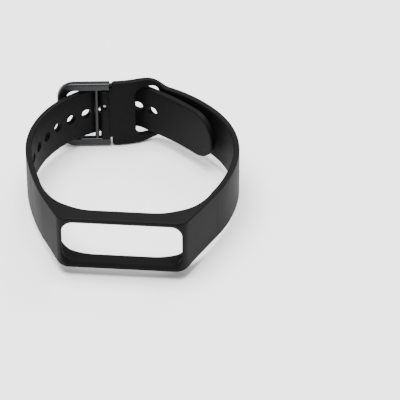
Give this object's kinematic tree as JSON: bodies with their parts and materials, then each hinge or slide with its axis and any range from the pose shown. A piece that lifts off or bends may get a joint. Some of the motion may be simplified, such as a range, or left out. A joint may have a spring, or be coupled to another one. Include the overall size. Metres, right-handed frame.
{
  "type": "fitness tracker band",
  "caption": "Black silicone wrist band for a pill-shaped fitness tracker, closed in a loop with a square buckle, tongue and quick-release spring bar",
  "frame": {"origin": "middle of the object's bounding box, on the level of its lowest edge", "axes": "+Z is the axis of the wrist loop, -Y is the way the tracker window faces, +X is the side of the short arm"},
  "size_m": [0.0664, 0.0718, 0.0245],
  "materials": {
    "silicone": "soft matte",
    "black_metal": "satin black coating",
    "gunmetal": "polished dark grey",
    "steel": "plain bright steel"
  },
  "bodies": {
    "band": {"strap": "silicone", "bar_tube": "steel", "fixed_pin": "steel", "bar_spring": "steel"},
    "buckle": {"buckle_frame": "black_metal", "crossbar": "black_metal"},
    "tongue": {"tongue": "gunmetal"},
    "release": {"release_pin": "steel", "release_knob": "steel"}
  },
  "joints": [
    {"name": "buckle_hinge", "type": "hinge", "parent": "band", "child": "buckle", "pos_m": [-0.01138, 0.02947, 0.01225], "axis": [0, 0, -1], "range_deg": [0, 5]},
    {"name": "tongue_hinge", "type": "hinge", "parent": "buckle", "child": "tongue", "pos_m": [-0.01138, 0.02947, 0.01225], "axis": [0, 0, -1], "range_deg": [0, 3]},
    {"name": "release_slide", "type": "slide", "parent": "band", "child": "release", "axis": [0, 0, -1], "range_m": [0, 0.0014], "stiffness_N_per_m": 150, "deforming": ["bar_spring"]}
  ]
}
